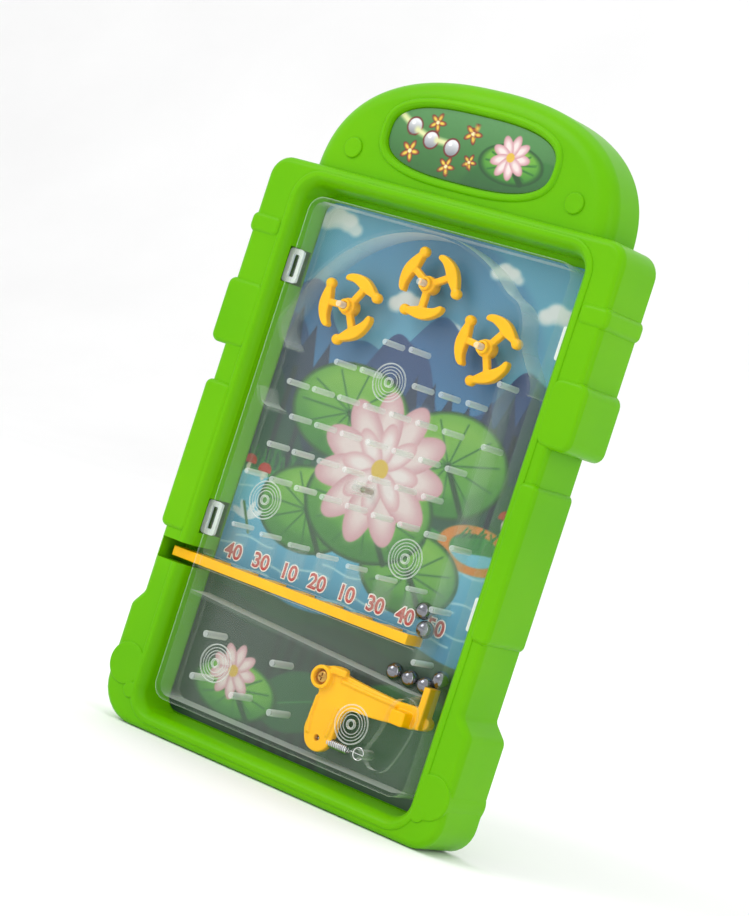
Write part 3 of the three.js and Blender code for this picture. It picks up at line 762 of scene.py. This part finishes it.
def make_lever():
    """The bell crank, drawn about its pivot: arm, hub, striker, finger knob and stiffening ribs."""
    arm = spline([
        (-0.4, -5.2), (-1.7, -17), (-1.1, -20.4), (0.6, -23.6), (3.4, -25.2), (6.6, -25.2), (9.4, -23.2),
        (10.9, -19.6), (11.3, -14), (12.4, -9.4), (15.4, -7.6), (24.2, -7.1), (33, -6.1), (41.6, -5),
        (41.6, 1.9), (30, 1.9), (9.7, 3.4), (7.9, 5.1), (2.6, 5.1), (-3.6, 1.9), (-3.9, -1.4),
    ], closed=True, steps=4)
    ribs = [[(8, 1.0), (20, 0.5), (33, 0.2)], [(0.2, -6.5), (-0.3, -14), (0.6, -20)],
            [(9.8, -8), (9.4, -14), (8.8, -19)]]
    hub = rod(0, 0, 4.2, 3.6, 9, 0.5, 48)
    striker = block(41, 43.6, -5, 9.9, 5.6, 12.6)
    striker_foot = rod(43.4, -2.4, 2.1, 8.4, 12.6)
    knob = eased(rounded_rect(33.8, 40, -5.6, -0.4, 1), 0.9, 7, 0.6)
    shoulder = eased(rounded_rect(2.6, 9.6, 2.4, 5.0, 0.6), 4.6, 7, 0.4)
    joined = [eased(arm, 6, 9, 0.5), hub, striker, striker_foot, knob, shoulder]
    joined += [eased(wall_outline(line, 1.2), 5.2, 7, 0.3) for line in ribs]
    bore = plain(circle(0, 0, 2.2), 6.4, 10)
    screw_well = plain(circle(0, 0, 2.9), 2, 6.4)
    spring_eye = plain(circle(*SPRING_EYE, 1.1), 5, 10)
    steps = [("+", turned(shape, *PIVOT, 0)) for shape in joined]
    steps += [("-", turned(shape, *PIVOT, 0)) for shape in (bore, screw_well, spring_eye)]
    piece = soften(carve("lever_arm", steps), 0.3, 5)
    stand_in(piece, "launch_lever", YELLOW, "yellow_plastic", "launch_lever")


make_spinners()
make_gate()
make_lever()


# ---- metal parts ---------------------------------------------------------------------------------
def make_ball(i, x, z):
    bm = bmesh.new()
    bmesh.ops.create_uvsphere(bm, u_segments=48, v_segments=32, radius=BALL_R * MM)
    bmesh.ops.translate(bm, verts=bm.verts, vec=at(x, BALL_Y, z))
    mesh = bpy.data.meshes.new(f"ball_{i}_steel")
    bm.to_mesh(mesh)
    bm.free()
    mesh.shade_smooth()
    stand_in(put(f"ball_{i}_steel", mesh), f"ball_{i}", STEEL, "ball_steel", f"ball_{i}")


def make_screw(name, node, x, z, head_y, towards, radius, height, shank, length, material):
    """A pan-head screw with a cross recess. towards is 1 if its tip points to the back, -1 to the front."""
    profile = [(0, radius * 0.62), (0.12 * height, radius * 0.8), (0.4 * height, radius * 0.95),
               (0.7 * height, radius), (height, radius), (height + 0.01, shank), (length - 1.6, shank),
               (length, 0.15)]
    body = stepped_rod(x, z, [(head_y + towards * depth, r) for depth, r in profile], 28)
    depths = sorted((head_y - towards, head_y + towards * 0.9))
    steps = [("+", body)]
    for a, b in ((radius * 0.55, 0.28), (0.28, radius * 0.55)):
        steps.append(("-", plain(rounded_rect(x - a, x + a, z - b, z + b, 0.12, 2), *depths)))
    piece = shade(carve(name, steps), 30)
    stand_in(piece, "case", material, "screw_zinc", node)


def sweep(name, points, radius, sides=10):
    """A round wire along a line of points in millimetres (x, y depth, z)."""
    points = np.array(points, float)
    along = unit(np.gradient(points, axis=0))
    side = np.cross(along[0], (0.3, 1, 0.2))
    verts, faces = [], []
    for p, t in zip(points, along):
        side = unit(side - t * (side @ t))
        other = np.cross(t, side)
        for k in range(sides):
            a = 2 * math.pi * k / sides
            verts.append(at(*(p + radius * (side * math.cos(a) + other * math.sin(a)))))
    for i in range(len(points) - 1):
        for k in range(sides):
            j = (k + 1) % sides
            faces.append((i * sides + k, i * sides + j, (i + 1) * sides + j, (i + 1) * sides + k))
    last = (len(points) - 1) * sides
    faces += [tuple(range(sides)), tuple(range(last, last + sides))]
    piece = mesh_object(name, (verts, faces))
    piece.data.shade_smooth()
    return piece


def make_spring():
    """An extension spring from the lever's eye to the post, with an open loop at each end."""
    eye = (PIVOT[0] + SPRING_EYE[0], PIVOT[1] + SPRING_EYE[1])
    wire, coil_r, y, z = 0.27, 1.4, 7.5, SPRING_POST[1] - 0.2
    left, right, turns = eye[0] + 4.4, SPRING_POST[0] - 4.6, 11
    turn_steps, hook_steps, loop_steps = 16, 16, 24
    hook_a, hook_b, loop_r = 0.9, 1.2, 2.2
    points = []
    for k in range(hook_steps + 1):
        a = math.pi * (0.35 + 1.6 * k / hook_steps)
        points.append((eye[0] + 0.3 - hook_a * math.sin(a), y - 0.6 + hook_b * math.sin(a), z + 0.2))
    for k in range(turns * turn_steps + 1):
        a = 2 * math.pi * k / turn_steps
        x = left + (right - left) * k / (turns * turn_steps)
        points.append((x, y + coil_r * math.cos(a), z + coil_r * math.sin(a)))
    for k in range(loop_steps + 1):
        a = math.pi * (1 - 2 * k / (loop_steps + 2))
        points.append((SPRING_POST[0] - loop_r * math.cos(a), y, SPRING_POST[1] + loop_r * math.sin(a)))
    piece = sweep("spring_coil", points, wire)
    piece.data.materials.append(WIRE)
    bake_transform(piece)
    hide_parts("launch_spring")


for number, (ball_x, ball_z) in enumerate(BALLS, 1):
    make_ball(number, ball_x, ball_z)
make_screw("pivot_screw_head", "pivot_screw", *PIVOT, 4.7, 1, 2.5, 1.4, 0.95, 8, BRASS)
make_screw("centre_screw_head", "centre_screw", *CENTRE_BOSS, 20.2, -1, 3, 1.4, 1.1, 11, ZINC)
for number, (screw_x, screw_z) in enumerate(SCREWS, 1):
    make_screw(f"case_screw_{number}_head", f"case_screw_{number}", screw_x, screw_z, 25.9, -1, 2.8, 1.2,
               1.25, 12.5, ZINC)
make_spring()


# ---- printed artwork -----------------------------------------------------------------------------
class Picture:
    """Flat shapes painted over each other on a cloud of points (x, z), with soft edges."""

    def __init__(self, x, z, colour):
        self.x, self.z = x, z
        self.rgb = np.broadcast_to(np.asarray(colour, float), (*x.shape, 3)).copy()

    def paint(self, inside, colour, edge=0.3):
        """inside is a distance in millimetres, positive within. colour is one, or one per point."""
        cover = np.clip(inside / edge + 0.5, 0, 1)[..., None]
        self.rgb += cover * (np.asarray(colour, float) - self.rgb)

    def oval(self, cx, cz, a, b, tilt=0.0):
        t = math.radians(tilt)
        u = (self.x - cx) * math.cos(t) + (self.z - cz) * math.sin(t)
        w = -(self.x - cx) * math.sin(t) + (self.z - cz) * math.cos(t)
        return (1 - np.sqrt((u / a) ** 2 + (w / b) ** 2)) * min(a, b)

    def stroke(self, points, width):
        best = np.full(self.x.shape, -1e9)
        for (x0, z0), (x1, z1) in zip(points[:-1], points[1:]):
            dx, dz = x1 - x0, z1 - z0
            t = np.clip(((self.x - x0) * dx + (self.z - z0) * dz) / (dx * dx + dz * dz), 0, 1)
            best = np.maximum(best, width / 2 - np.hypot(self.x - x0 - t * dx, self.z - z0 - t * dz))
        return best

    def tones(self, low, high, z0, z1):
        """A colour per point that runs from low at z0 to high at z1."""
        t = np.clip((self.z - z0) / (z1 - z0), 0, 1)[..., None]
        return np.asarray(low, float) * (1 - t) + np.asarray(high, float) * t


def ridge(x, base, *waves):
    return base + sum(height * np.sin(x / length + phase) for height, length, phase in waves)


def lily_leaf(p, x, z, a, b):
    """A round water-lily leaf with a notch and with veins that run out from its heart."""
    dark, veins = (14, 74, 22), 11
    p.paint(p.oval(x, z, a, b) + 0.9, dark, 0.5)
    p.paint(p.oval(x, z, a, b), p.tones((44, 128, 32), (116, 186, 46), z - b, z + b), 1.4)
    bright = p.tones((62, 150, 38), (140, 200, 62), z - b, z + b)
    p.paint(p.oval(x, z + b * 0.12, a * 0.8, b * 0.72), bright, 3)
    for k in range(veins):
        turn = 2 * math.pi * (k + 0.5) / veins
        rim = (x + 0.88 * a * math.cos(turn), z + 0.88 * b * math.sin(turn))
        p.paint(p.stroke([(x, z), rim], 0.7), (38, 116, 34), 0.5)
    notch = [(x, z), (x + 0.5 * a, z - 0.9 * b)]
    p.paint(p.stroke(notch, 2.2), dark, 0.6)


def blossom(p, x, z, size, petals, outer, inner, heart):
    for k in range(petals):
        a = 2 * math.pi * k / petals
        c, s = math.cos(a), math.sin(a)
        leaf = p.oval(x + c * size * 0.6, z + s * size * 0.6, size * 0.5, size * 0.24, math.degrees(a))
        p.paint(leaf + 0.25, outer)
        p.paint(leaf - size * 0.05, inner, size * 0.2)
    p.paint(p.oval(x, z, size * 0.24, size * 0.24), heart)


def cloud(p, x, z, s):
    for dx, dz, r in ((-6, 0, 4), (-2, 2.2, 5), (3.4, 1.4, 4.4), (7.4, -0.6, 3)):
        p.paint(p.oval(x + dx * s, z + dz * s, r * s, r * s * 0.8), (214, 232, 236), 1.6)
    for dx, dz, r in ((-6, 0.6, 3.2), (-2, 2.8, 4), (3.4, 2, 3.4)):
        p.paint(p.oval(x + dx * s, z + dz * s, r * s, r * s * 0.7), (240, 246, 246), 1.4)


def grass(p, x0, x1, z, height, colour, seed):
    chance = np.random.default_rng(seed)
    for x in np.arange(x0, x1, 1.6):
        lean, tall = chance.uniform(-3, 3), height * chance.uniform(0.6, 1.1)
        p.paint(p.stroke([(x, z), (x + lean * 0.4, z + tall * 0.6), (x + lean, z + tall)], 0.8), colour)


LILY = ((214, 150, 160), (246, 226, 222), (226, 186, 60))


def sky_and_woods(p, x, z):
    p.paint(x * 0 + 9, p.tones((120, 196, 214), (70, 160, 196), 20, 98))
    p.paint(p.oval(-1, 34, 57, 62), p.tones((132, 200, 222), (44, 128, 176), 30, 92), 3)
    for spot in ((-52, 88, 1.0), (24, 86, 0.7), (-12, 66, 0.9), (50, 76, 0.9), (8, 62, 0.6)):
        cloud(p, *spot)
    far, near = ridge(x, 56, (9, 11, 0.6), (3, 4.3, 1)), ridge(x, 44, (12, 9, 2.4), (2, 3, 0))
    p.paint(far - z, p.tones((58, 132, 176), (30, 96, 156), 20, 66), 0.6)
    p.paint(near - z, p.tones((30, 92, 132), (16, 60, 122), 10, 56), 0.6)
    firs = 13 * (1 - np.abs((x / 8.2 + 0.35) % 1 * 2 - 1)) + 5 * np.cos(x / 17)
    tree_tops = 26 + firs + np.clip(np.abs(x) - 26, 0, 30) * 0.75
    p.paint(tree_tops - z, p.tones((10, 50, 66), (12, 42, 92), 0, 62), 0.5)
    shrubs = ridge(x, 6, (4, 5.2, 0), (2.4, 2.3, 1.3)) + np.clip(np.abs(x) - 30, 0, 30) * 0.7
    p.paint(shrubs - z, p.tones((16, 84, 50), (10, 62, 62), -8, 30), 0.5)
    trunks = np.minimum(1.1 - np.abs((x + 2) % 9 - 4.5), np.minimum(z + 2, 34 - z))
    p.paint(np.minimum(trunks, np.abs(x) - 34), (8, 36, 46), 0.6)


def water_and_banks(p, x, z):
    p.paint(-4 - z + 2 * np.sin(x / 7), p.tones((36, 130, 60), (60, 160, 56), -14, 0), 0.5)
    p.paint(-9 - z + 1.5 * np.sin(x / 9 + 1), p.tones((54, 150, 190), (120, 200, 222), -46, -10), 0.5)
    for k in range(9):
        height = z + 13 + k * 3.6 - 0.6 * np.sin(x / 3 + k)
        wave = np.minimum(0.35 - np.abs(height), 9 - np.abs((x + 13 * k) % 41 - 20))
        p.paint(wave, (170, 222, 234), 0.5)
    bank = p.oval(46, -8, 17, 9)
    p.paint(np.minimum(bank, -np.abs(bank - 2) + 1.4), (222, 140, 50), 0.6)
    grass(p, -60, -30, -6, 9, (30, 120, 46), 3)
    grass(p, 38, 60, -8, 8, (34, 126, 48), 4)
    for mx, mz in ((-58, -4), (-50.5, -5.5), (54, 6)):
        p.paint(p.oval(mx, mz - 2.2, 0.9, 2), (236, 226, 206))
        p.paint(np.minimum(p.oval(mx, mz, 3, 2.6), z - mz + 0.8), (196, 44, 30))
    for k in range(3):
        p.paint(-46 - 6 * k - z + 2.4 * np.sin(x / (11 - k) + k), (14 + 4 * k, 84 - 12 * k, 36), 0.5)
    reeds = np.minimum(1.5 - np.abs(x % 6 - 3), np.minimum(-58 - z, 24 - np.abs(x - 2)))
    p.paint(reeds, (10, 44, 22), 0.6)
    p.paint(p.oval(42, -86, 34, 26), p.tones((12, 70, 26), (34, 124, 40), -104, -62), 0.8)
    p.paint(p.oval(38, -92, 24, 18), p.tones((10, 60, 24), (24, 104, 34), -104, -74), 0.8)
    p.paint(p.oval(-6, -80, 17, 11, 20), (24, 96, 40), 0.5)
    p.paint(p.stroke([(-20, -85), (-6, -80), (8, -75)], 0.6), (54, 134, 58))


def water_lilies(p):
    for leaf in ((-22, 24, 25, 17), (25, 17, 24, 18), (-27, -14, 21, 15), (23, -23, 20, 14),
                 (-2, -6, 27, 19)):
        lily_leaf(p, *leaf)
    blossom(p, -2, 8, 25, 11, *LILY)
    blossom(p, -2, 8, 15, 8, (226, 166, 172), (252, 240, 236), (232, 196, 70))
    lily_leaf(p, -33, -84, 18, 10)
    blossom(p, -36, -78, 9, 9, *LILY)


def dragonfly(p, x, z):
    for wing in (35, 75, 125, 160):
        a = math.radians(wing)
        p.paint(p.oval(x + 4 * math.cos(a), z + 3 * math.sin(a), 3.8, 1.2, wing), (220, 236, 240), 0.4)
    p.paint(p.stroke([(x - 3, z + 5), (x + 3, z - 5)], 1.1), (60, 120, 50))


def pond_scene(x, z):
    """The card: a pond before woods and hills, with water lilies in the middle."""
    p = Picture(x, z, (0, 0, 0))
    sky_and_woods(p, x, z)
    water_and_banks(p, x, z)
    water_lilies(p)
    dragonfly(p, -52, -24)
    return p.rgb


def pinball_badge(x, z):
    """The label: rolling balls and flowers on green, beside a water lily."""
    p = Picture(x, z, (0, 0, 0))
    p.paint(x * 0 + 9, p.tones((38, 104, 34), (86, 150, 84), 112, 136))
    p.paint(p.oval(30, 112, 30, 14), p.tones((20, 76, 26), (44, 120, 46), 104, 124), 1)
    for k, (bx, bz) in enumerate(((-26, 128), (-17.5, 124.5), (-8, 123.5))):
        tail = [(bx - 7, bz + 3.4 - k), (bx - 3, bz + 1.2), (bx, bz)]
        p.paint(p.stroke(tail, 2.2), (232, 236, 170), 1.4)
        p.paint(p.oval(bx, bz, 3.5, 3.5), (110, 22, 12))
        p.paint(p.oval(bx, bz, 2.9, 2.9), p.tones((130, 134, 140), (240, 242, 244), bz - 3, bz + 2))
        p.paint(p.oval(bx - 1, bz + 1.1, 0.8, 0.7), (255, 255, 255))
    for sx, sz, size in ((-17, 131, 3), (-25, 119, 3.4), (-1, 130, 3.2), (-8, 116.6, 3), (1, 120, 2.4)):
        blossom(p, sx, sz, size, 5, (124, 24, 14), (246, 214, 70), (255, 244, 180))
    lily_leaf(p, 18, 122.5, 12, 6.4)
    blossom(p, 17, 125, 7, 9, (206, 140, 150), (248, 232, 228), (232, 190, 60))
    return p.rgb


def printed_sheet(name, xs, zs, front_y, back_y, painter, wrap):
    """A thin closed sheet whose front is a fine grid of points (rows of xs, zs) that carries the picture."""
    rows, columns = xs.shape
    rgb = painter(xs, zs).reshape(-1, 3)
    front = [at(x, front_y, z) for x, z in zip(xs.ravel(), zs.ravel())]
    faces = []
    for r in range(rows - 1):
        for c in range(columns if wrap else columns - 1):
            d = (c + 1) % columns
            faces.append((r * columns + c, r * columns + d, (r + 1) * columns + d, (r + 1) * columns + c))
    if wrap:
        rim = [(rows - 1) * columns + c for c in range(columns)]
        faces.append(tuple(range(columns)))
    else:
        rim = ([c for c in range(columns)] + [r * columns + columns - 1 for r in range(1, rows)]
               + [(rows - 1) * columns + c for c in range(columns - 2, -1, -1)]
               + [r * columns for r in range(rows - 2, 0, -1)])
    count = len(front)
    back = [at(xs.ravel()[i], back_y, zs.ravel()[i]) for i in rim]
    n = len(rim)
    faces += [(rim[i], rim[(i + 1) % n], count + (i + 1) % n, count + i) for i in range(n)]
    faces.append(tuple(range(count, count + n)))
    piece = mesh_object(name, (front + back, faces))
    ink = piece.data.color_attributes.new("ink", "FLOAT_COLOR", "POINT")
    colours = np.ones((count + n, 4), np.float32)
    colours[:count, :3] = linear(rgb)
    colours[count:, :3] = 0.75
    ink.data.foreach_set("color", colours.ravel())
    return piece


def make_card():
    """The card, with corners rounded by 5 mm, as a grid fine enough to carry its picture."""
    step, half_width, corner = 0.42, 60, 5
    zs = np.linspace(CARD_FOOT, CARD_TOP, round((CARD_TOP - CARD_FOOT) / step) + 1)
    reach = np.clip(corner - np.minimum(zs - CARD_FOOT, CARD_TOP - zs), 0, corner)
    half = half_width - corner + np.sqrt(corner ** 2 - reach ** 2)
    columns = int(2 * half_width / step)
    share = np.linspace(-1, 1, columns)
    grid_x = half[:, None] * share[None, :]
    grid_z = np.repeat(zs[:, None], columns, 1)
    piece = printed_sheet("picture_card", grid_x, grid_z, CARD_Y, CARD_Y + SHEET, pond_scene, False)
    stand_in(piece, "case", CARD, "printed_card", "play_card")


def make_label():
    outline = superellipse(LABEL, 0, 320)
    centre = np.array((0, LABEL["z"]))
    rings = np.linspace(0.01, 1, 110)[:, None, None]
    grid = centre + rings * (outline - centre)[None]
    piece = printed_sheet("badge_print", grid[..., 0], grid[..., 1], LABEL_Y, LABEL_Y + SHEET,
                          pinball_badge, True)
    stand_in(piece, "case", FILM, "printed_label", "marquee_label")


RED_INK = surface("score_ink", (168, 34, 30), (196, 46, 38), 0.4, patch=200)
WHITE_INK = surface("score_edge", (226, 216, 212), (244, 238, 232), 0.4, patch=200)


SCORES = (40, 30, 10, 20, 10, 30, 40, 50)
SCORE_Z = -37.6
SCORE_SIZE = 7.7
# name, ink, how far the stroke is thickened, and how far it lies before the card
SCORE_LAYERS = (("edge", WHITE_INK, 0.62, 0.04), ("figure", RED_INK, 0.18, 0.09))


def figures(name, text, size, thicken, place):
    """Flat figures in the front view, centred on a point in metres."""
    curve = bpy.data.curves.new(name, "FONT")
    curve.body = text
    curve.size = size * MM
    curve.offset = thicken * MM
    curve.extrude = 0.02 * MM
    curve.align_x = "CENTER"
    curve.align_y = "CENTER"
    writing = put("figures", curve)
    mesh = bpy.data.meshes.new_from_object(writing.evaluated_get(bpy.context.evaluated_depsgraph_get()))
    bpy.data.objects.remove(writing)
    mesh.transform(Matrix.Translation(place) @ Matrix.Rotation(math.pi / 2, 4, "X"))
    return put(name, mesh)


def make_scores():
    """Plain point values under the pockets, as on the scale of any dial."""
    for i, value in enumerate(SCORES):
        x = POCKET["first"] + (i - 0.44) * POCKET["pitch"]
        for name, ink, thicken, before in SCORE_LAYERS:
            place = at(x, CARD_Y - before, SCORE_Z)
            piece = figures(f"score_{i}_{name}", str(value), SCORE_SIZE, thicken, place)
            stand_in(piece, "case", ink, "printed_card")


make_card()
make_label()
make_scores()


# ---- camera, floor and lamps ---------------------------------------------------------------------
CAMERA = dict(yaw=34.83, rise=1.05, roll=17.97, aim=(5.7, 0, 11.74), distance=0.91202, lens=103.27)


def make_camera():
    yaw, rise, roll = (math.radians(CAMERA[angle]) for angle in ("yaw", "rise", "roll"))
    forward = Vector((-math.sin(yaw) * math.cos(rise), math.cos(yaw) * math.cos(rise), -math.sin(rise)))
    level = Vector((math.cos(yaw), math.sin(yaw), 0))
    upright = level.cross(forward)
    right = level * math.cos(roll) + upright * math.sin(roll)
    up = upright * math.cos(roll) - level * math.sin(roll)
    place = Vector(at(*CAMERA["aim"])) - forward * CAMERA["distance"]
    camera = put("camera", bpy.data.cameras.new("camera"))
    camera.matrix_world = Matrix.Translation(place) @ Matrix((right, up, -forward)).transposed().to_4x4()
    camera.data.lens = CAMERA["lens"]
    camera.data.clip_start = 0.05
    camera.data.clip_end = 20
    bpy.context.scene.camera = camera


def make_floor():
    """A pale floor that curves up into a wall behind the object."""
    reach, bend_start, bend, wall_top, drop = 6, 1.2, 0.9, 5, 0.0002
    profile = [(-reach, 0), (bend_start, 0)]
    for k in range(1, 17):
        a = math.pi / 2 * k / 16
        profile.append((bend_start + bend * math.sin(a), bend * (1 - math.cos(a))))
    profile.append((bend_start + bend, wall_top))
    verts = [(x, y, z - drop) for y, z in profile for x in (-reach, reach)]
    faces = [(2 * i, 2 * i + 1, 2 * i + 3, 2 * i + 2) for i in range(len(profile) - 1)]
    mesh = bpy.data.meshes.new("floor")
    mesh.from_pydata(verts, [], faces)
    mesh.shade_smooth()
    floor = put("floor", mesh)
    floor.data.materials.append(surface("floor_paper", (244, 244, 244), (250, 250, 250), 0.8, patch=3))


def lamp(name, place, target, size, power, colour=(1, 1, 1)):
    light = bpy.data.lights.new(name, "AREA")
    light.shape = "RECTANGLE"
    light.size, light.size_y = size
    light.energy = power
    light.color = colour
    holder = put(name, light)
    holder.location = place
    holder.rotation_mode = "QUATERNION"
    holder.rotation_quaternion = (Vector(target) - Vector(place)).to_track_quat("-Z", "Y")


def make_light():
    world = bpy.data.worlds.new("studio")
    bpy.context.scene.world = world
    world.use_nodes = True
    set_inputs(world.node_tree.nodes["Background"], {"Color": (1, 1, 1, 1), "Strength": 1.0})
    middle = (0, 0, 0.13)
    lamp("key", (-0.7, -1.1, 1.1), middle, (0.8, 0.8), 9)
    lamp("side", (1.3, -0.5, 0.5), middle, (0.5, 1.2), 3)
    lamp("top", (0, 0.1, 1.5), middle, (1.2, 0.6), 3)
    bpy.context.scene.view_settings.view_transform = "Standard"


make_camera()
make_floor()
make_light()
